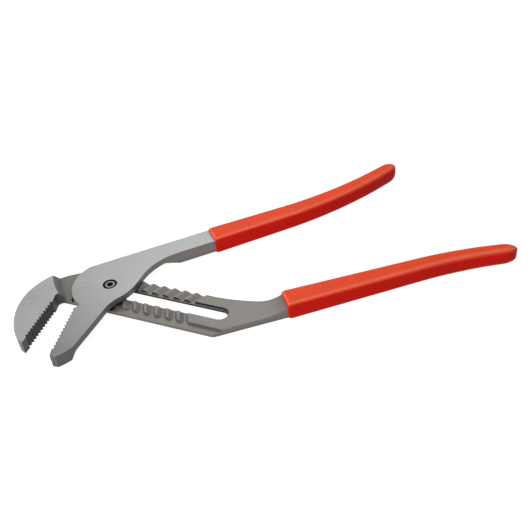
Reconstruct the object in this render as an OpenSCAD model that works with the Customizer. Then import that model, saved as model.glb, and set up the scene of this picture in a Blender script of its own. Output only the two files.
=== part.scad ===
// Slip joint pliers of the groove-joint kind, lying on their back.
// X runs along the slot from the jaws to the handles, and Z is up, out of the front face.
// The origin is on the pivot axis, level with the back of the steel.

/* [Whole tool] */
// Thickness of the jaws and of the steel in the handles
thick = 12; // [11:0.5:14]
// Gap between the two halves where they slide over each other
joint_gap = 0.2; // [0.1:0.05:0.3]

/* [Pivot] */
// Radius of the nut's barrel, on which the front half turns
barrel_r = 4.45; // [4:0.05:4.6]
// Radial clearance between the barrel and the front half's bore
barrel_fit = 0.05; // [0.02:0.01:0.1]
// Radius of the screw's shank
shank_r = 3; // [2.5:0.1:3.4]
// Radius of the screw's head
screw_head_r = 5.6; // [5:0.1:6.5]
// Height of the screw's head
screw_head_h = 2.6; // [2.2:0.1:3]
// Depth of the screw's head below the front face
screw_sink = 0.5; // [0.3:0.1:0.8]
// Radius over the lobes of the screw's socket
socket_r = 2.2; // [1.8:0.1:2.5]
// Depth of the screw's socket
socket_deep = 1.8; // [1.2:0.1:2]

/* [Bar of the back half] */
// Pivot line to the bar's upper edge
bar_up = 17.1; // [16.5:0.1:18]
// Pivot line to the bar's lower edge
bar_low = 21.6; // [21:0.1:22.5]
// Width of the low ledge along the bar's lower edge
ledge_w = 5.2; // [4.5:0.1:5.5]
// Height of the raised rails above the ledge and above the floor of the slot between them
rail_h = 2.3; // [2:0.1:2.4]
// Width of the slot between the rails
slot_w = 13.9; // [13:0.1:15]
// Width of the narrow slot that goes right through
through_w = 11.4; // [10:0.1:11.6]
// Width of the nut's track in the back
track_w = 15; // [13:0.1:16]
// Depth of the nut's track in the back
track_deep = 1.4; // [1.3:0.1:1.8]

/* [Adjustment] */
// Number of steps from the smallest setting to the widest
steps = 10; // [6:1:10]
// Distance from one setting to the next
pitch = 10; // [9:0.5:10]
// Radius of the middle of a groove's floor about the pivot
groove_r = 27.6; // [27:0.1:28]
// Width of a groove at its floor
groove_w = 2; // [1.6:0.1:2.4]
// Run of a groove's steep side, towards the pivot
groove_steep_run = 1.4; // [0.8:0.1:1.8]
// Run of a groove's flatter side, away from the pivot
groove_flat_run = 3.6; // [2.5:0.1:4]
// Radius about the pivot at which the tongues end
tongue_end_r = 30.5; // [30:0.1:30.8]
// Clearance of a tongue on each side in its groove
tongue_fit = 0.15; // [0.1:0.05:0.3]

/* [Back jaw] */
// Radius of the jaw's round back
jaw_r = 49.3; // [48:0.1:51]
// Distance from the pivot back to the centre of that round
jaw_round_x = 13.2; // [12:0.1:14]
// Radius of the flatter round towards the tip
jaw_flat_r = 63.7; // [60:0.1:70]
// Angle at which the flatter round starts
jaw_flat_angle = 194; // [188:1:200]
// Angle at which the flatter round ends at the blunt tip
jaw_end_angle = 234.4; // [232:0.1:235]
// Inner corner of the blunt tip, back from the pivot
back_tip_x = 31.5; // [31:0.1:33]
// Inner corner of the blunt tip, below the pivot
back_tip_y = 82.2; // [81:0.1:83]
// First tooth by the throat, back from the pivot
back_teeth_x = 35.2; // [34:0.1:36]
// First tooth by the throat, below the pivot
back_teeth_y = 33.5; // [32:0.5:36]
// Last tooth by the tip, back from the pivot
back_last_x = 31.8; // [31:0.1:33]
// Last tooth by the tip, below the pivot
back_last_y = 75.6; // [74:0.1:77]
// Radius of the round at the throat
throat_r = 4.5; // [3:0.1:6]

/* [Front jaw and head] */
// Radius of the round head
head_r = 32; // [31.5:0.1:33]
// Distance from the pivot to the jaw's outer edge
jaw_out = 11.7; // [11:0.1:13]
// Tip of the jaw, back from the pivot
front_tip_x = 2.4; // [1.5:0.1:3]
// Tip of the jaw, below the pivot
front_tip_y = 87.4; // [85:0.5:90]
// First tooth by the throat, back from the pivot
front_teeth_x = 14; // [13:0.1:15]
// First tooth by the throat, below the pivot
front_teeth_y = 36; // [35:0.5:38]
// Last tooth by the tip, back from the pivot
front_last_x = 4.9; // [4:0.1:6]
// Last tooth by the tip, below the pivot
front_last_y = 80.6; // [79:0.1:82]
// Radius of the hollow between the jaw's outer edge and the head
hollow_r = 30; // [26:1:34]
// Radius of the head on the side of the slot
bulge_r = 40; // [36:1:46]
// Distance from the pivot to the waist between the head and the handle
waist_x = 21.8; // [21:0.1:24]
// Radius of the hollow between the head and the handle
crook_r = 52; // [46:1:58]

/* [Teeth] */
// Number of teeth in each jaw
tooth_count = 12; // [10:1:14]
// Depth of a tooth
bite_depth = 2; // [1.5:0.1:2.5]

/* [Front handle] */
// Angle of the handle to the slot
front_angle = 44.5; // [43:0.5:46]
// Distance along the handle from the pivot to the grip
front_along = 98.4; // [95:0.1:105]
// Distance from the pivot to the handle's middle line
front_off = 21.5; // [20:0.1:23]
// Length of the straight part of the grip
front_straight = 69; // [60:1:80]
// Length of the bent part of the grip
front_bend_len = 130; // [110:1:140]
// Angle through which the grip bends outwards
front_bend_angle = 19.5; // [14:0.5:24]
// Width of the grip where it starts
front_grip_w = 19.6; // [18:0.1:22]
// Width of the grip towards its end
front_grip_end_w = 14; // [13:0.1:16]
// Thickness of the grip at the sides of the steel
front_grip_wall = 0.8; // [0.7:0.1:1.5]

/* [Back handle] */
// Angle of the handle to the slot
back_angle = 38.5; // [37.5:0.5:40]
// Start of the grip, along the slot from the pivot
back_start_x = 147.5; // [145:0.5:150]
// Start of the grip, above the pivot
back_start_y = 24; // [22.5:0.1:25]
// Length of the straight part of the grip
back_straight = 115; // [100:1:125]
// Length of the bent part of the grip
back_bend_len = 86; // [70:1:95]
// Angle through which the grip bends outwards
back_bend_angle = 13; // [8:1:18]
// Width of the grip where it starts
back_grip_w = 19.6; // [18:0.1:22]
// Width of the grip towards its end
back_grip_end_w = 12.4; // [12:0.1:15]
// Thickness of the grip at the sides of the steel
back_grip_wall = 1.1; // [1:0.1:2]
// Radius of the hollow between the bar and the handle, where it ends at the handle
kink_r = 46; // [42:1:52]
// Angle at which the hollow changes to its flatter round along the bar
kink_angle = 15; // [12:1:18]
// Radius of the corner between the bar and the handle
corner_r = 5; // [3:0.5:8]
// Length of the rise from the bar's level to the grip
rise_len = 20; // [17:0.5:21]
// Thickness of the steel where the grip starts
rise_t = 10.5; // [9.5:0.1:11]

/* [Grips] */
// Thickness of the grips over the front and the back of the steel
grip_cover = 2.6; // [2.2:0.1:2.8]
// Radius of the grips' long edges where a grip starts
grip_edge_r = 3.2; // [2.4:0.1:3.6]
// Radius of the grips' long edges towards the end
grip_end_edge_r = 5.8; // [4.5:0.1:6]
// Thickness of the grips at the sides of the steel, at its end
grip_end_wall = 2.3; // [2.2:0.1:2.8]
// Length of the round at the end of a grip
grip_tip = 11; // [8:0.5:14]
// Length of the rounded lip where a grip starts
grip_lip_len = 3; // [2:0.1:4]

/* [Hidden] */
// One overrun for all cuts and joins
over = 1;
// Segments in a curve of an outline, in a corner of a grip's section and in a grip's tip
curve_steps = 24;
corner_steps = 4;
tip_steps = 7;
lip_steps = 3;
$fn = 96;

// Clearance of the boss, the barrel, the nut and the tongues in their slots, on each side
slot_fit = 0.2;
// Clearance round the screw's head, and of the shank in the nut
head_fit = 0.3;
thread_fit = 0.05;
// Clearance of the steel inside a grip
grip_fit = 0.05;
// Room past the last setting at each end of the slot
end_room = 1;

// Levels above the back of the steel
rail_z = (thick - joint_gap) / 2;
head_z = (thick + joint_gap) / 2;
ledge_z = rail_z - rail_h;
seat_z = thick - screw_sink - screw_head_h;

// The pivot's travel, and the edges of the slot and the rails
travel = steps * pitch;
slot_half = slot_w / 2;
rail_out = bar_low - ledge_w;
ledge_start_x = 26;

// The two tongues, as they lie with the handles apart
inner_tongue_y = 1.2;
outer_tongue_x = 15;

// The nut's flange, from its middle to the centres of its round ends, and the floor of its thread
nut_half = 4;
nut_floor = 1;
// Width of the bevel round the screw's head
screw_bevel = 1.2;

// The relief in the root of the back jaw that clears the head
relief_x = 8.2;
relief_y = 37.1;
relief_r = 70;
relief_top_r = 74.6;
// The relief in the back of the front half that clears the bar, by the jaw and by the handle
jaw_clear_r = 35;
jaw_clear_low_r = 40;
handle_clear_r = 52;
handle_clear_low_r = 66;
// The slopes under the jaw's outer edge
jaw_slope_angle = 45;
heel_slope_angle = 22;
heel_turn_angle = 15.5;

// Small shapes at the throats and tips of the jaws
throat_x = 37.4;
head_end_angle = 250;
bulge_y = 8;
nose_w = 5;
nose_h = 0.6;
chin_x = 6.5;
chin_y = 81.2;
heel_x = 10.3;
heel_y = 73.8;
// Shares of a tooth's length to its root, of a grip's thickness drawn in at the foot of its lip,
// and of its height and size kept at its tip
root_share = 0.55;
lip_share = 0.75;
tip_high_share = 0.45;
tip_end_share = 0.15;

function lerp(a, b, t) = a + (b - a) * t;
function along(a) = [cos(a), sin(a)];
function left_of(a) = [-sin(a), cos(a)];
function turned_back(list) = [for (i = [len(list) - 1:-1:0]) list[i]];
function arc(c, r, from, to, first = 0) =
    [for (i = [first:curve_steps]) c + r * along(lerp(from, to, i / curve_steps))];

// Saw teeth from the first crest to the last, with their roots to the left of the way
function teeth(from, to) =
    let (way = to - from, side = [-way.y, way.x] / norm(way))
    concat([for (i = [0:tooth_count - 1])
        each [from + way * i / tooth_count,
              from + way * (i + root_share) / tooth_count + bite_depth * side]], [to]);

// A handle's run: start, angle, straight length, bent length, bend, width, end width, wall
front_start = front_along * along(front_angle) + front_off * left_of(front_angle);
front_run = [front_start, front_angle, front_straight, front_bend_len, front_bend_angle,
             front_grip_w, front_grip_end_w, front_grip_wall];
back_run = [[back_start_x, back_start_y], back_angle, back_straight, back_bend_len, -back_bend_angle,
            back_grip_w, back_grip_end_w, back_grip_wall];
function run_len(run) = run[2] + run[3];
function run_dir(run, s) = run[1] + run[4] * max(0, s - run[2]) / run[3];
function run_at(run, s) =
    let (bend_r = run[3] * 180 / (PI * run[4]), dir = run_dir(run, s))
    run[0] + min(s, run[2]) * along(run[1])
        + bend_r * [sin(dir) - sin(run[1]), cos(run[1]) - cos(dir)];
function run_half(run, s) = lerp(run[5], run[6], s / run_len(run)) / 2;
function run_wall(run, s) = lerp(run[7], grip_end_wall, s / run_len(run));

// One side of the steel in a grip, left (1) or right (-1); fit widens it and makes it longer
function steel_side(run, side, start, fit) =
    let (last = run_len(run) - grip_tip + fit)
    [for (i = [0:curve_steps])
        let (s = lerp(start, last, i / curve_steps))
        run_at(run, s) + side * (run_half(run, s) - run_wall(run, s) + fit) * left_of(run_dir(run, s))];
function steel(run, start, fit) =
    concat(steel_side(run, -1, start, fit), turned_back(steel_side(run, 1, start, fit)));

// The steel's edges where the grips start, as distances of the front handle's from the pivot
front_steel_half = run_half(front_run, 0) - front_grip_wall;
handle_low = front_off - front_steel_half;
handle_high = front_off + front_steel_half;

// Centres of the rounds in the front half's outline
bulge_at = [waist_x - bulge_r, bulge_y];
hollow_x = jaw_out + hollow_r;
hollow_at = [hollow_x, bulge_y - sqrt((hollow_r + bulge_r) ^ 2 - (hollow_x - bulge_at.x) ^ 2)];
hollow_turn = atan2(bulge_at.y - hollow_at.y, bulge_at.x - hollow_at.x);
crook_x = waist_x + crook_r;
crook_at = [crook_x, (handle_low - crook_r + crook_x * sin(front_angle)) / cos(front_angle)];
head_start = front_angle + 90 + acos(handle_high / head_r);

front_outline = concat(
    [[-front_tip_x, -front_tip_y], [nose_w - front_tip_x, nose_h - front_tip_y],
     [chin_x, -chin_y], [heel_x, -heel_y]],
    arc(hollow_at, hollow_r, 180, hollow_turn),
    arc(bulge_at, bulge_r, hollow_turn - 180, 0, 1),
    arc(crook_at, crook_r, 180, front_angle + 90),
    steel(front_run, 0, 0),
    arc([0, 0], head_r, head_start, head_end_angle),
    teeth([-front_teeth_x, -front_teeth_y], [-front_last_x, -front_last_y]));

// The two rounds between the bar and the back handle, of which the flatter one meets the bar
back_steel_half = run_half(back_run, 0) - back_grip_wall;
kink_end = back_run[0] + back_steel_half * left_of(back_angle);
kink_at = kink_end + kink_r * left_of(back_angle);
flat_r = (kink_at.y - bar_up - kink_r * cos(kink_angle)) / (1 - cos(kink_angle));
flat_at = kink_at + (flat_r - kink_r) * left_of(kink_angle);
// Where the handle's lower edge, carried on straight, meets the bar's lower edge
back_low = back_run[0] - back_steel_half * left_of(back_angle);
corner_x = back_low.x - (back_low.y + bar_low) / tan(back_angle);
corner_at = [corner_x - corner_r * tan(back_angle / 2), corner_r - bar_low];

// The back jaw's two rounds, which touch where the flatter one starts
jaw_at = [-jaw_round_x, bar_up - jaw_r];
jaw_flat_at = jaw_at + (jaw_r - jaw_flat_r) * along(jaw_flat_angle);

back_outline = concat(
    arc([throat_r - throat_x, -bar_low - throat_r], throat_r, 180, 90),
    arc(corner_at, corner_r, -90, back_angle - 90),
    steel(back_run, 0, 0),
    arc(kink_at, kink_r, back_angle - 90, kink_angle - 90, 1),
    arc(flat_at, flat_r, kink_angle - 90, -90, 1),
    arc(jaw_at, jaw_r, 90, jaw_flat_angle),
    arc(jaw_flat_at, jaw_flat_r, jaw_flat_angle, jaw_end_angle, 1),
    [[-back_tip_x, -back_tip_y]],
    teeth([-back_last_x, -back_last_y], [-back_teeth_x, -back_teeth_y]));

// The rise from the bar's level to the back grip is a hollow round across the handle
rise = rise_t - rail_z;
rise_r = (rise_len ^ 2 + rise ^ 2) / (2 * rise);
rise_at = back_run[0] - rise_len * along(back_angle);
// A span past everything that the bar's cuts have to clear
span = 2 * (travel + head_r);

// Rings of points, each seen from the first one's outside as running to the left, made a solid
module skin(rings) {
    n = len(rings[0]);
    last = len(rings) - 1;
    sides = [for (k = [0:last - 1], i = [0:n - 1])
        let (a = k * n + i, b = k * n + (i + 1) % n)
        each [[a, b, b + n], [a, b + n, a + n]]];
    first_cap = [for (i = [n - 1:-1:0]) i];
    last_cap = [for (i = [0:n - 1]) last * n + i];
    polyhedron([for (ring = rings) each ring], concat([first_cap], sides, [last_cap]));
}

// A slot with round ends, between the centres of its ends
module slot(from, to, w, h) {
    linear_extrude(h) {
        translate([from, -w / 2]) square([to - from, w]);
        translate([from, 0]) circle(d = w);
        translate([to, 0]) circle(d = w);
    }
}

// A groove's two sides at a height above its floor
function groove_in(z) = groove_r - groove_w / 2 - groove_steep_run * z / rail_h;
function groove_out(z) = groove_r + groove_w / 2 + groove_flat_run * z / rail_h;

// The ring that a groove cuts, or that a tongue is part of, on the jaw's side of the pivot
module groove_ring(low, high, fit) {
    translate([0, 0, ledge_z]) intersection() {
        rotate_extrude() polygon([[groove_in(low) + fit, low], [groove_out(low) - fit, low],
                                  [groove_out(high) - fit, high], [groove_in(high) + fit, high]]);
        translate([-span, -span, -span]) cube([span, 2 * span, 2 * span]);
    }
}

// What is cut from the front of the back half to bring the bar down to its rails
module bar_relief() {
    top = thick - rail_z + over;
    flare = (relief_top_r - relief_r) / (thick - rail_z);
    translate([relief_x, relief_y, rail_z]) cylinder(r1 = relief_r, r2 = relief_r + flare * top, h = top);
    intersection() {
        translate([relief_x, -span, rail_z]) cube([span, 2 * span, top]);
        translate([rise_at.x, rise_at.y, rail_z]) rotate(back_angle)
            translate([-span, -span, 0]) cube([span, 2 * span, top]);
    }
    back_rise();
}

// The hollow rise towards the back grip
module back_rise() {
    translate([rise_at.x, rise_at.y, rail_z + rise_r]) rotate([90, 0, back_angle])
        cylinder(r = rise_r, h = span, center = true);
}

// One groove for each setting, in both rails
module grooves() {
    for (k = [0:steps])
        translate([k * pitch, 0, 0]) groove_ring(0, rail_h + over, 0);
}

// Slot, track and ledge of the bar
module bar_cuts() {
    slot_start = tongue_end_r + slot_fit;
    translate([0, 0, ledge_z]) slot(-end_room, travel + end_room, slot_w, thick);
    translate([-slot_start, -slot_half, ledge_z]) cube([slot_start, slot_w, thick]);
    translate([0, 0, -over]) slot(-end_room, travel + end_room, through_w, thick);
    translate([0, 0, -over])
        slot(-end_room - nut_half, travel + end_room + nut_half, track_w, track_deep + over);
    translate([-ledge_start_x, -bar_low - over, ledge_z])
        cube([ledge_start_x + back_start_x, ledge_w + over, thick]);
}

module back_half() {
    color([0.55, 0.53, 0.51]) difference() {
        linear_extrude(thick) polygon(back_outline);
        bar_relief();
        bar_cuts();
        grooves();
    }
}

// A cone about the pivot through two radii, at the back of the steel and at the head
module clear_cone(low_r, head_level_r) {
    flare = (low_r - head_level_r) / head_z;
    translate([0, 0, -over])
        cylinder(r1 = low_r + flare * over, r2 = head_level_r, h = head_z + over);
}

// The hollow in the back of the front half in which the bar lies, deeper on the handle's side
module front_relief() {
    clear_cone(jaw_clear_low_r, jaw_clear_r);
    intersection() {
        clear_cone(handle_clear_low_r, handle_clear_r);
        translate([-span, 0, -span]) cube([2 * span, span, 2 * span]);
    }
}

// All that lies beyond a sloping plane through a point
module beyond(point, tilt, turn) {
    translate(point) rotate([0, tilt, turn])
        translate([0, -span, -span]) cube([span, 2 * span, 2 * span]);
}

// The sloping underside of the jaw's outer edge, which runs out towards the tip
module jaw_bevel() {
    edge_turn = atan((jaw_out - heel_x) / (hollow_at.y + heel_y));
    intersection() {
        beyond([heel_x, -heel_y, head_z], jaw_slope_angle, -edge_turn);
        beyond([heel_x, -heel_y, head_z], heel_slope_angle, heel_turn_angle);
        translate([0, hollow_at.y + over - span, -over]) cube([span, span, span]);
    }
}

// Tongues that turn into the grooves when the handles close
module tongues() {
    intersection() {
        groove_ring(joint_gap, rail_h + joint_gap + over, tongue_fit);
        linear_extrude(thick) intersection() {
            circle(tongue_end_r);
            union() {
                translate([-span, inner_tongue_y])
                    square([span, slot_half - slot_fit - inner_tongue_y]);
                translate([-span, -span])
                    square([span - outer_tongue_x, span - rail_out - slot_fit]);
            }
        }
    }
}

module front_half() {
    boss_z = ledge_z + joint_gap;
    color([0.68, 0.68, 0.68]) difference() {
        union() {
            difference() {
                linear_extrude(thick) polygon(front_outline);
                front_relief();
                jaw_bevel();
            }
            translate([0, 0, boss_z]) cylinder(r = slot_half - slot_fit, h = head_z + over - boss_z);
            tongues();
        }
        translate([0, 0, -over]) cylinder(r = barrel_r + barrel_fit, h = thick);
        translate([0, 0, seat_z - joint_gap]) cylinder(r = screw_head_r + head_fit, h = thick);
    }
}

// A grip's section: half width, half height and edge radius
function section(w, h, r) =
    [for (q = [0:3], j = [0:corner_steps])
        let (a = 90 * (q + j / corner_steps))
        [(w - r) * sign(cos(90 * q + 45)) + r * cos(a), (h - r) * sign(sin(90 * q + 45)) + r * sin(a)]];

// One ring of a grip: place along it, share of its thickness drawn in, and share of its size kept
function grip_ring(run, s, less, keep) =
    let (w = (run_half(run, s) - less * run[7]) * keep,
         h = (thick / 2 + grip_cover * (1 - less)) * lerp(keep, 1, tip_high_share),
         r = min(lerp(grip_edge_r, grip_end_edge_r, s / run_len(run)), w, h),
         at = run_at(run, s), right = -left_of(run_dir(run, s)))
    [for (p = section(w, h, r)) [at.x + p.x * right.x, at.y + p.x * right.y, thick / 2 + p.y]];

module grip(run) {
    full = run_len(run) - grip_tip;
    skin(concat(
        [for (i = [0:lip_steps - 1])
            let (a = 90 * i / lip_steps)
            grip_ring(run, grip_lip_len * (1 - cos(a)), lip_share * (1 - sin(a)), 1)],
        [for (i = [0:curve_steps]) grip_ring(run, lerp(grip_lip_len, full, i / curve_steps), 0, 1)],
        [for (i = [1:tip_steps])
            let (a = 90 * i / tip_steps)
            grip_ring(run, full + grip_tip * sin(a), 0, max(cos(a), tip_end_share))]));
}

// The room for the steel inside a grip
module grip_room(run) {
    translate([0, 0, -grip_fit]) linear_extrude(thick + 2 * grip_fit) polygon(steel(run, -over, grip_fit));
}

module back_grip() {
    color([0.85, 0.14, 0.08]) difference() {
        grip(back_run);
        difference() {
            grip_room(back_run);
            translate([0, 0, grip_fit]) back_rise();
        }
    }
}

module front_grip() {
    color([0.85, 0.14, 0.08]) difference() {
        grip(front_run);
        grip_room(front_run);
    }
}

// Flanged nut that slides in the track, with the barrel that the front half turns on
module pivot_nut() {
    color([0.35, 0.35, 0.36]) difference() {
        union() {
            slot(-nut_half, nut_half, track_w - 2 * slot_fit, track_deep - joint_gap);
            cylinder(r = barrel_r, h = seat_z);
        }
        translate([0, 0, nut_floor]) cylinder(r = shank_r + thread_fit, h = thick);
    }
}

// Six-lobed socket
module socket() {
    lobe_r = socket_r / 4;
    difference() {
        circle(socket_r);
        for (i = [0:5])
            rotate(60 * i) translate([socket_r, 0]) circle(lobe_r);
    }
}

module pivot_screw() {
    top_z = seat_z + screw_head_h;
    shank_z = nut_floor + joint_gap;
    color([0.25, 0.25, 0.26]) difference() {
        union() {
            translate([0, 0, shank_z]) cylinder(r = shank_r, h = seat_z - shank_z + over);
            translate([0, 0, seat_z]) cylinder(r = screw_head_r, h = screw_head_h - screw_bevel);
            translate([0, 0, top_z - screw_bevel])
                cylinder(r1 = screw_head_r, r2 = screw_head_r - screw_bevel, h = screw_bevel);
        }
        translate([0, 0, top_z - socket_deep]) linear_extrude(thick) socket();
    }
}

back_half();
front_half();
back_grip();
front_grip();
pivot_nut();
pivot_screw();
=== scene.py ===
import math

import bpy
from mathutils import Matrix, Vector


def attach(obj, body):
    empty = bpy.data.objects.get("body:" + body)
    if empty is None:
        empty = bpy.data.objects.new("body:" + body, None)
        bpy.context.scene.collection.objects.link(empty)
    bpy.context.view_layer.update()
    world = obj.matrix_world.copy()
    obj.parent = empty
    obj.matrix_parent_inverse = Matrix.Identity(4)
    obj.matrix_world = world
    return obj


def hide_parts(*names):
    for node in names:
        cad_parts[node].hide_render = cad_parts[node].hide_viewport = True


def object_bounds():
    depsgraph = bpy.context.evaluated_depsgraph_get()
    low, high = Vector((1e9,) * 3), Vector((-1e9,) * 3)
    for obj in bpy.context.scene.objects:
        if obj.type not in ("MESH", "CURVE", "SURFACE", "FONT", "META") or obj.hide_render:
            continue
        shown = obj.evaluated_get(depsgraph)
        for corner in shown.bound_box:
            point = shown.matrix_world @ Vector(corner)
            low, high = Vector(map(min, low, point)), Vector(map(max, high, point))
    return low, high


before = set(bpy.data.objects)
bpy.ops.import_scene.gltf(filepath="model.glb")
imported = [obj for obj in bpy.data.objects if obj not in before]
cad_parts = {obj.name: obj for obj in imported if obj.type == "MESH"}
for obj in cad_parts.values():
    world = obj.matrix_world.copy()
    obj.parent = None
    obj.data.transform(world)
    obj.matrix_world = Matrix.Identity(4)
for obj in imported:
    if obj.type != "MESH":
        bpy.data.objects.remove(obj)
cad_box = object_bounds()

# Camera: a short telephoto looking down on the tool from the side that the jaws open to,
# rolled a little, as the catalogue picture was taken.
picture_px = 530.0
focal_px = 800.0
sensor_mm = 36.0
camera_place = (0.34134, -0.40759, 0.4395)
view_right = Vector((0.92496, 0.37140, -0.08066))
view_up = Vector((-0.18016, 0.61534, 0.76740))
view_back = view_right.cross(view_up)
camera_data = bpy.data.cameras.new("camera")
camera_data.sensor_width = sensor_mm
camera_data.lens = sensor_mm * focal_px / picture_px
camera_data.clip_start = 0.01
camera_data.clip_end = 20.0
camera = bpy.data.objects.new("camera", camera_data)
bpy.context.scene.collection.objects.link(camera)
camera_turn = Matrix((view_right, view_up, view_back)).transposed().to_4x4()
camera.matrix_world = Matrix.Translation(camera_place) @ camera_turn
bpy.context.scene.camera = camera
bpy.context.scene.view_settings.view_transform = "Standard"

# Studio: a white sweep of paper under a soft box, with a key lamp behind the tool
# and a low fill in front of it. The surround that lights the steel is dim and even.
surround_level = 0.16
paper_grey = 0.30
paper_glow = 0.94
sweep_size = 6.0
floor_gap = 0.0002
middle = Vector((0.12, 0.07, 0.0))
lamps = (
    ("key", (-0.25, 0.75, 0.80), 0.8, 3.2),
    ("soft_box", (0.15, 0.10, 1.10), 0.6, 4.0),
    ("fill", (-0.12, -0.92, 0.42), 0.5, 7.2))


def figure(tree, operation, first, second=None):
    """The output of one Math node; each input is a socket or a number."""
    made = tree.nodes.new("ShaderNodeMath")
    made.operation = operation
    for place, value in enumerate((first, second)):
        if isinstance(value, bpy.types.NodeSocket):
            tree.links.new(value, made.inputs[place])
        elif value is not None:
            made.inputs[place].default_value = value
    return made.outputs[0]


def seen_directly(tree):
    """1 where the camera, a mirror or a glass looks at the surface, and 0 where it only gives light."""
    ray = tree.nodes.new("ShaderNodeLightPath")
    seen = figure(tree, "MAXIMUM", ray.outputs["Is Camera Ray"], ray.outputs["Is Glossy Ray"])
    return figure(tree, "MAXIMUM", seen, ray.outputs["Is Transmission Ray"])


world = bpy.data.worlds.new("studio")
bpy.context.scene.world = world
world.use_nodes = True
sky = world.node_tree
sky.nodes.clear()
surround = sky.nodes.new("ShaderNodeBackground")
surround.inputs["Color"].default_value = (0.95, 0.97, 1.0, 1.0)
surround.inputs["Strength"].default_value = surround_level
backdrop = sky.nodes.new("ShaderNodeBackground")
backdrop.inputs["Color"].default_value = (1.0, 1.0, 1.0, 1.0)
backdrop.inputs["Strength"].default_value = 1.0
pick = sky.nodes.new("ShaderNodeMixShader")
sky.links.new(seen_directly(sky), pick.inputs["Fac"])
sky.links.new(surround.outputs[0], pick.inputs[1])
sky.links.new(backdrop.outputs[0], pick.inputs[2])
sky_out = sky.nodes.new("ShaderNodeOutputWorld")
sky.links.new(pick.outputs[0], sky_out.inputs["Surface"])

for name, place, size, power in lamps:
    lamp_data = bpy.data.lights.new(name, "AREA")
    lamp_data.shape = "DISK"
    lamp_data.size = size
    lamp_data.energy = power
    lamp = bpy.data.objects.new(name, lamp_data)
    bpy.context.scene.collection.objects.link(lamp)
    lamp.location = place
    lamp.rotation_euler = (middle - Vector(place)).to_track_quat("-Z", "Y").to_euler()

floor_level = cad_box[0][2] - floor_gap
bpy.ops.object.select_all(action="DESELECT")
bpy.ops.mesh.primitive_plane_add(size=sweep_size, location=(middle.x, middle.y, floor_level))
sweep = bpy.context.object
sweep.name = "white_sweep"
paper = bpy.data.materials.new("white_paper")
paper.use_nodes = True
tree = paper.node_tree
tree.nodes.clear()
matte = tree.nodes.new("ShaderNodeBsdfDiffuse")
matte.inputs["Color"].default_value = (paper_grey, paper_grey, paper_grey, 1.0)
glow = tree.nodes.new("ShaderNodeEmission")
glow.inputs["Color"].default_value = (1.0, 1.0, 1.0, 1.0)
tree.links.new(figure(tree, "MULTIPLY", seen_directly(tree), paper_glow), glow.inputs["Strength"])
both = tree.nodes.new("ShaderNodeAddShader")
tree.links.new(matte.outputs[0], both.inputs[0])
tree.links.new(glow.outputs[0], both.inputs[1])
paper_out = tree.nodes.new("ShaderNodeOutputMaterial")
tree.links.new(both.outputs[0], paper_out.inputs["Surface"])
sweep.data.materials.append(paper)

# Back half: one drop forging with the hooked jaw, the slotted bar and the handle's tang.
# The bar is blasted to a warm satin grey and the jaw's face is ground on a belt.
# The corners are broken by hand, so every edge has a narrow bevel; its lighter colour is partly rubbed wear and
# partly a painted highlight.
bar_corner = 0.00022
steel_corner_angle = 32
slot_side, slot_start, slot_end = 0.0072, -0.02, 0.109
mouth_back, mouth_front, mouth_top = -0.0385, -0.012, -0.0195
level_gap = 0.0001
forged_wall = (0.200, 0.180, 0.165)


def broken_corners(node, body, width, angle, clamp):
    """A copy of a CAD piece with its doubles merged and its corners broken; the new faces take slot 1."""
    merge_gap = 0.000002
    flat_angle = 0.6
    most_sides = 16
    soft_angle = 50
    piece = bpy.data.objects.new(node + "_finished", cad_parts[node].data.copy())
    bpy.context.scene.collection.objects.link(piece)
    piece.data.materials.clear()
    bpy.ops.object.select_all(action="DESELECT")
    bpy.context.view_layer.objects.active = piece
    piece.select_set(True)
    bpy.ops.object.mode_set(mode="EDIT")
    bpy.ops.mesh.select_all(action="SELECT")
    bpy.ops.mesh.remove_doubles(threshold=merge_gap)
    bpy.ops.mesh.customdata_custom_splitnormals_clear()
    bpy.ops.mesh.dissolve_limited(angle_limit=math.radians(flat_angle))
    # A flat face with a hole in it can't take a bevel as one polygon, so it is cut up again.
    bpy.ops.mesh.select_mode(type="FACE")
    bpy.ops.mesh.select_all(action="DESELECT")
    bpy.ops.mesh.select_face_by_sides(number=most_sides, type="GREATER")
    bpy.ops.mesh.quads_convert_to_tris(ngon_method="BEAUTY")
    bpy.ops.object.mode_set(mode="OBJECT")
    bevel = piece.modifiers.new("broken_corners", "BEVEL")
    bevel.width = width
    bevel.segments = 2
    bevel.limit_method = "ANGLE"
    bevel.angle_limit = math.radians(angle)
    bevel.use_clamp_overlap = clamp
    bevel.miter_outer = "MITER_ARC"
    bevel.material = 1
    bpy.ops.object.modifier_apply(modifier=bevel.name)
    bpy.ops.object.shade_smooth_by_angle(angle=math.radians(soft_angle))
    even = piece.modifiers.new("even_faces", "WEIGHTED_NORMAL")
    even.weight = 80
    even.keep_sharp = True
    bpy.ops.object.modifier_apply(modifier=even.name)
    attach(piece, body)
    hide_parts(node)
    return piece


def vector_figure(tree, operation, first, second=None):
    """The output of one Vector Math node; the second input is a socket or a plain vector."""
    made = tree.nodes.new("ShaderNodeVectorMath")
    made.operation = operation
    tree.links.new(first, made.inputs[0])
    if isinstance(second, tuple):
        made.inputs[1].default_value = second
    elif second is not None:
        tree.links.new(second, made.inputs["Scale" if operation == "SCALE" else 1])
    return made.outputs["Value" if operation in ("LENGTH", "DOT_PRODUCT") else "Vector"]


def noise(tree, where, detail, scale):
    """A noise pattern that lies on the given coordinates."""
    made = tree.nodes.new("ShaderNodeTexNoise")
    made.inputs["Scale"].default_value = scale
    made.inputs["Detail"].default_value = detail
    tree.links.new(where, made.inputs["Vector"])
    return made.outputs["Fac"]


def ranged(tree, value, low, high):
    """A value from 0 to 1, brought to the range from low to high."""
    made = tree.nodes.new("ShaderNodeMapRange")
    made.inputs["To Min"].default_value = low
    made.inputs["To Max"].default_value = high
    tree.links.new(value, made.inputs["Value"])
    return made.outputs[0]


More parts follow.
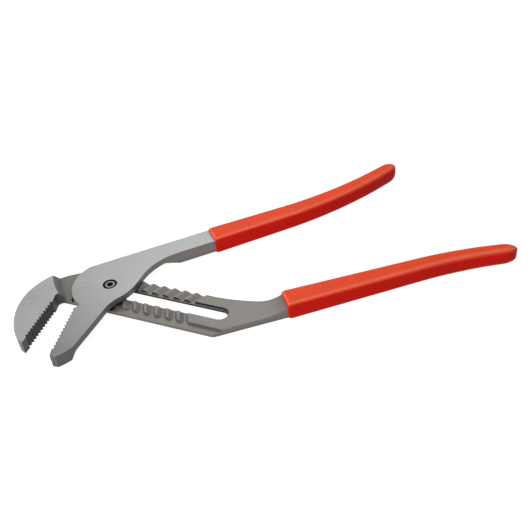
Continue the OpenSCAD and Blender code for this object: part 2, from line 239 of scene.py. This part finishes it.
def levelness(tree, where):
    """1 on a level face and 0 on an upright wall."""
    facing = tree.nodes.new("ShaderNodeSeparateXYZ")
    tree.links.new(where.outputs["Normal"], facing.inputs[0])
    return figure(tree, "ABSOLUTE", facing.outputs["Z"])


# Steel surface: long scratches of the grinding belt, a cloudy blasted tone and fine pits,
# with the walls of the forging told from its flat faces by the way they face.
scratch_stretch = (70.0, 4600.0, 4600.0)
wall_level, face_level = 0.35, 0.8
steel_surface = bpy.data.node_groups.new("steel_surface", "ShaderNodeTree")
for socket, kind, value in (
        ("Face Colour", "NodeSocketColor", (0.4, 0.4, 0.4, 1)),
        ("Wall Colour", "NodeSocketColor", (0.1, 0.1, 0.1, 1)),
        ("Grain Turn", "NodeSocketFloat", 0.0),
        ("Grain", "NodeSocketFloat", 0.1),
        ("Clouds", "NodeSocketFloat", 0.1),
        ("Face Roughness", "NodeSocketFloat", 0.4),
        ("Wall Roughness", "NodeSocketFloat", 0.5),
        ("Painted Falloff Way", "NodeSocketVector", (0.0, 0.0, 0.0))):
    made = steel_surface.interface.new_socket(socket, in_out="INPUT", socket_type=kind)
    made.default_value = value
for socket, kind in (
        ("Colour", "NodeSocketColor"), ("Roughness", "NodeSocketFloat"), ("Height", "NodeSocketFloat")):
    steel_surface.interface.new_socket(socket, in_out="OUTPUT", socket_type=kind)
n, link = steel_surface.nodes, steel_surface.links.new
given, gives = n.new("NodeGroupInput"), n.new("NodeGroupOutput")
where = n.new("ShaderNodeTexCoord")
turn = n.new("ShaderNodeCombineXYZ")
link(given.outputs["Grain Turn"], turn.inputs["Z"])
lie = n.new("ShaderNodeVectorRotate")
lie.rotation_type = "EULER_XYZ"
link(where.outputs["Object"], lie.inputs["Vector"])
link(turn.outputs[0], lie.inputs["Rotation"])
along_grain = vector_figure(steel_surface, "MULTIPLY", lie.outputs[0], scratch_stretch)
scratches = noise(steel_surface, along_grain, detail=4.0, scale=1.0)
clouds = noise(steel_surface, where.outputs["Object"], detail=5.0, scale=55.0)
pits = noise(steel_surface, where.outputs["Object"], detail=2.0, scale=1500.0)
is_face = n.new("ShaderNodeMapRange")
is_face.interpolation_type = "SMOOTHSTEP"
is_face.inputs["From Min"].default_value = wall_level
is_face.inputs["From Max"].default_value = face_level
link(levelness(steel_surface, where), is_face.inputs["Value"])
tone = n.new("ShaderNodeMix")
tone.data_type = "RGBA"
link(is_face.outputs[0], tone.inputs["Factor"])
link(given.outputs["Wall Colour"], tone.inputs["A"])
link(given.outputs["Face Colour"], tone.inputs["B"])
swings = [
    figure(steel_surface, "MULTIPLY", figure(steel_surface, "SUBTRACT", pattern, 0.5), given.outputs[strength])
    for pattern, strength in ((scratches, "Grain"), (clouds, "Clouds"))]
swing = figure(steel_surface, "ADD", *swings)
# Painted shade: the colour darkens along the painted falloff way.
painted_falloff_run = vector_figure(steel_surface, "DOT_PRODUCT", where.outputs["Object"], given.outputs["Painted Falloff Way"])
shade = figure(steel_surface, "ADD", swing, ranged(steel_surface, painted_falloff_run, 1.0, 0.0))
link(vector_figure(steel_surface, "SCALE", tone.outputs["Result"], shade), gives.inputs["Colour"])
rough = n.new("ShaderNodeMix")
link(is_face.outputs[0], rough.inputs["Factor"])
link(given.outputs["Wall Roughness"], rough.inputs["A"])
link(given.outputs["Face Roughness"], rough.inputs["B"])
link(figure(steel_surface, "ADD", rough.outputs["Result"], swing), gives.inputs["Roughness"])
height = n.new("ShaderNodeMix")
link(is_face.outputs[0], height.inputs["Factor"])
link(pits, height.inputs["A"])
link(scratches, height.inputs["B"])
link(height.outputs["Result"], gives.inputs["Height"])


def steel(name, face, wall, metal, grain, clouds, face_rough, wall_rough, bump, grain_turn=0.0, painted_falloff=(0, 0, 0)):
    """A steel finish from the shared surface group; painted_falloff is the way it darkens as painted shade, as a
    share for each metre.
    """
    crevice_shade_reach = 0.008
    scratch_depth = 0.00004
    made = bpy.data.materials.new(name)
    made.use_nodes = True
    nodes, join = made.node_tree.nodes, made.node_tree.links.new
    shader = nodes["Principled BSDF"]
    surface = nodes.new("ShaderNodeGroup")
    surface.node_tree = steel_surface
    surface.inputs["Face Colour"].default_value = (*face, 1.0)
    surface.inputs["Wall Colour"].default_value = (*wall, 1.0)
    surface.inputs["Grain Turn"].default_value = math.radians(grain_turn)
    surface.inputs["Grain"].default_value = grain
    surface.inputs["Clouds"].default_value = clouds
    surface.inputs["Face Roughness"].default_value = face_rough
    surface.inputs["Wall Roughness"].default_value = wall_rough
    surface.inputs["Painted Falloff Way"].default_value = painted_falloff
    # Ambient occlusion darkens the colour in creases, recesses and where parts meet: painted shade.
    crevice_shade = nodes.new("ShaderNodeAmbientOcclusion")
    crevice_shade.name = "crevice_shade"
    crevice_shade.samples = 8
    crevice_shade.inputs["Distance"].default_value = crevice_shade_reach
    join(surface.outputs["Colour"], crevice_shade.inputs["Color"])
    join(crevice_shade.outputs["Color"], shader.inputs["Base Color"])
    join(surface.outputs["Roughness"], shader.inputs["Roughness"])
    shader.inputs["Metallic"].default_value = metal
    relief = nodes.new("ShaderNodeBump")
    relief.inputs["Strength"].default_value = bump
    relief.inputs["Distance"].default_value = scratch_depth
    join(surface.outputs["Height"], relief.inputs["Height"])
    join(relief.outputs["Normal"], shader.inputs["Normal"])
    return made


# The blasted colour darkens towards the jaw end (-X), over the neck beside the head: painted shade.
blasted = steel(
    "blasted_steel", face=(0.176, 0.163, 0.150), wall=forged_wall, metal=0.35, grain=0.30, clouds=0.34,
    face_rough=0.52, wall_rough=0.55, bump=0.35, painted_falloff=(-5.0, 0.0, 0.0))
# Lighter colour on the narrow bevels: partly rubbed wear, partly a painted highlight along the edges.
rubbed_highlight = steel(
    "rubbed_edge_and_highlight", face=(0.32, 0.30, 0.28), wall=(0.26, 0.24, 0.22), metal=0.4, grain=0.08, clouds=0.20,
    face_rough=0.42, wall_rough=0.45, bump=0.2)
belt_ground = steel(
    "belt_ground_jaw", face=(0.315, 0.317, 0.316), wall=forged_wall, metal=0.40, grain=0.46, clouds=0.22,
    face_rough=0.38, wall_rough=0.52, bump=0.3, grain_turn=-24.0)
slot_dark = steel(
    "slot_in_shade", face=(0.262, 0.245, 0.228), wall=(0.020, 0.017, 0.014), metal=0.6, grain=0.05, clouds=0.14,
    face_rough=0.52, wall_rough=0.6, bump=0.3)
mouth_dark = steel(
    "mouth_in_shade", face=(0.176, 0.163, 0.150), wall=(0.122, 0.106, 0.096), metal=0.35, grain=0.10, clouds=0.14,
    face_rough=0.52, wall_rough=0.6, bump=0.3)
back_half = broken_corners("back_half", "back", bar_corner, steel_corner_angle, clamp=False)
for finish in (blasted, rubbed_highlight, belt_ground, slot_dark, mouth_dark):
    back_half.data.materials.append(finish)
jaw_level = max(corner.co.z for corner in back_half.data.vertices)
for face in back_half.data.polygons:
    at, way = face.center, face.normal
    is_top = way.z > 0.99 and at.z > jaw_level - level_gap
    is_wall = abs(way.z) < 0.4
    in_slot = abs(at.y) < slot_side and slot_start < at.x < slot_end
    in_mouth = mouth_back < at.x < mouth_front and at.y < mouth_top and way.x > -0.2
    if is_top:
        face.material_index = 2
    elif is_wall and in_slot:
        face.material_index = 3
    elif is_wall and in_mouth and face.material_index == 0:
        face.material_index = 4

# Front half: the second forging, with the round head, the straight jaw and its own tang.
# The front face is ground bright on a belt; the sides under it keep the forged grey.
head_corner = 0.0005
bore_r = 0.00615
bore_below = 0.0006
# The ground face darkens towards the jaw's tip (-Y): painted light falloff.
ground = steel(
    "ground_steel", face=(0.278, 0.285, 0.283), wall=forged_wall, metal=0.40, grain=0.46, clouds=0.22,
    face_rough=0.36, wall_rough=0.52, bump=0.3, grain_turn=-24.0, painted_falloff=(0.0, -5.0, 0.0))
# Lighter colour on the narrow bevels: partly rubbed wear, partly a painted highlight along the edges.
bright_highlight = steel(
    "bright_edge_and_highlight", face=(0.42, 0.42, 0.41), wall=(0.28, 0.26, 0.245), metal=0.45, grain=0.10, clouds=0.20,
    face_rough=0.34, wall_rough=0.42, bump=0.2, grain_turn=-24.0)
# Near black for the bore walls under the head and the screw's sides and socket: painted shade in the recess.
bore_shade = steel(
    "bore_in_shade", face=(0.006, 0.006, 0.006), wall=(0.006, 0.006, 0.006), metal=0.1, grain=0.10, clouds=0.20,
    face_rough=0.5, wall_rough=0.5, bump=0.2)
bore_shade.node_tree.nodes["Principled BSDF"].inputs["Specular IOR Level"].default_value = 0.1
front_half = broken_corners("front_half", "front", head_corner, steel_corner_angle, clamp=False)
for finish in (ground, bright_highlight, bore_shade):
    front_half.data.materials.append(finish)
for face in front_half.data.polygons:
    if face.center.xy.length < bore_r and face.center.z < jaw_level - bore_below:
        face.material_index = 2

# Grips: the tangs are dipped in red vinyl, which sets to a satin skin with a soft orange peel.
# The colour is set by how level the surface is: the vinyl's own deep red down the sides, a painted highlight over
# the rounded shoulders and a painted orange sheen on the flats. The coat ends in a drip-rounded tip.
grip_corner = 0.0003
grip_corner_angle = 40
peel_depth = 0.0001
# Ramp over levelness: the vinyl's red on the walls, a painted highlight on the shoulders and a painted sheen on
# the flats.
vinyl_red_and_sheen = (
    (0.30, (0.84, 0.016, 0.0078, 1.0)),
    (0.60, (0.84, 0.088, 0.046, 1.0)),
    (0.80, (0.97, 0.172, 0.107, 1.0)),
    (0.97, (0.92, 0.118, 0.054, 1.0)),
    (1.00, (0.86, 0.074, 0.022, 1.0)))


def graded(tree, value, stops):
    """The colour that a ramp with the given places and colours has at a value."""
    made = tree.nodes.new("ShaderNodeValToRGB")
    ramp = made.color_ramp.elements
    ramp[0].position, ramp[0].color = stops[0]
    ramp[1].position, ramp[1].color = stops[-1]
    for place, colour in stops[1:-1]:
        ramp.new(place).color = colour
    tree.links.new(value, made.inputs["Fac"])
    return made.outputs["Color"]


vinyl = bpy.data.materials.new("dipped_red_vinyl")
vinyl.use_nodes = True
tree = vinyl.node_tree
nodes, join = tree.nodes, tree.links.new
shader = nodes["Principled BSDF"]
shader.inputs["Specular IOR Level"].default_value = 0.06
where = nodes.new("ShaderNodeTexCoord")
peel = noise(tree, where.outputs["Object"], detail=2.0, scale=420.0)
mottle = noise(tree, where.outputs["Object"], detail=4.0, scale=40.0)
red_and_sheen = graded(tree, levelness(tree, where), vinyl_red_and_sheen)
tinted = vector_figure(tree, "SCALE", red_and_sheen, ranged(tree, mottle, 0.90, 1.10))
join(tinted, shader.inputs["Base Color"])
join(ranged(tree, mottle, 0.30, 0.42), shader.inputs["Roughness"])
relief = nodes.new("ShaderNodeBump")
relief.inputs["Strength"].default_value = 0.12
relief.inputs["Distance"].default_value = peel_depth
join(peel, relief.inputs["Height"])
join(relief.outputs["Normal"], shader.inputs["Normal"])
for node, body in (("back_grip", "back"), ("front_grip", "front")):
    grip = broken_corners(node, body, grip_corner, grip_corner_angle, clamp=True)
    grip.data.materials.append(vinyl)
    grip.data.materials.append(vinyl)

# Pivot nut: a turned and milled flange nut of plain steel, with the barrel that the front half turns on.
# It rides in the track behind the bar and is held by the screw.
nut_corner = 0.0002
pivot_corner_angle = 40
milled = steel(
    "milled_steel", face=(0.22, 0.21, 0.205), wall=(0.16, 0.155, 0.15), metal=0.85, grain=0.14, clouds=0.08,
    face_rough=0.4, wall_rough=0.42, bump=0.25, grain_turn=90.0)
pivot_nut = broken_corners("pivot_nut", "pivot", nut_corner, pivot_corner_angle, clamp=True)
pivot_nut.data.materials.append(milled)
pivot_nut.data.materials.append(rubbed_highlight)

# Pivot screw: black-oxide screw with a six-lobed socket, let into the head and screwed into the nut.
# The black is worn through on a ring of the flat top, between the socket and the rim, and that grey ring is also
# a painted reflection on the flat.
screw_corner = 0.00012
screw_top_depth = 0.0005
ring_scale = 100.0
oxide, bare_and_reflecting = (0.02, 0.02, 0.02, 1.0), (1.0, 1.0, 1.0, 1.0)
worn_and_reflecting_ring = ((0.26, oxide), (0.30, bare_and_reflecting), (0.39, bare_and_reflecting), (0.43, oxide))
blacked = steel(
    "black_oxide", face=(0.16, 0.16, 0.16), wall=(0.012, 0.012, 0.012), metal=0.7, grain=0.20, clouds=0.20,
    face_rough=0.34, wall_rough=0.42, bump=0.2)
tree = blacked.node_tree
nodes, join = tree.nodes, tree.links.new
where = nodes.new("ShaderNodeTexCoord")
# Grey ring of the top: partly worn oxide, partly painted reflection.
across = vector_figure(tree, "MULTIPLY", where.outputs["Object"], (ring_scale, ring_scale, 0.0))
wear_and_reflection = graded(tree, vector_figure(tree, "LENGTH", across), worn_and_reflecting_ring)
ring = vector_figure(tree, "MULTIPLY", nodes["crevice_shade"].outputs["Color"], wear_and_reflection)
join(ring, nodes["Principled BSDF"].inputs["Base Color"])
pivot_screw = broken_corners("pivot_screw", "pivot", screw_corner, pivot_corner_angle, clamp=True)
for finish in (blacked, blacked, bore_shade):
    pivot_screw.data.materials.append(finish)
socket_top = max(corner.co.z for corner in pivot_screw.data.vertices) - screw_top_depth
# The screw's sides and socket take the near-black painted shade.
for face in pivot_screw.data.polygons:
    if face.normal.z < 0.95 or face.center.z < socket_top:
        face.material_index = 2
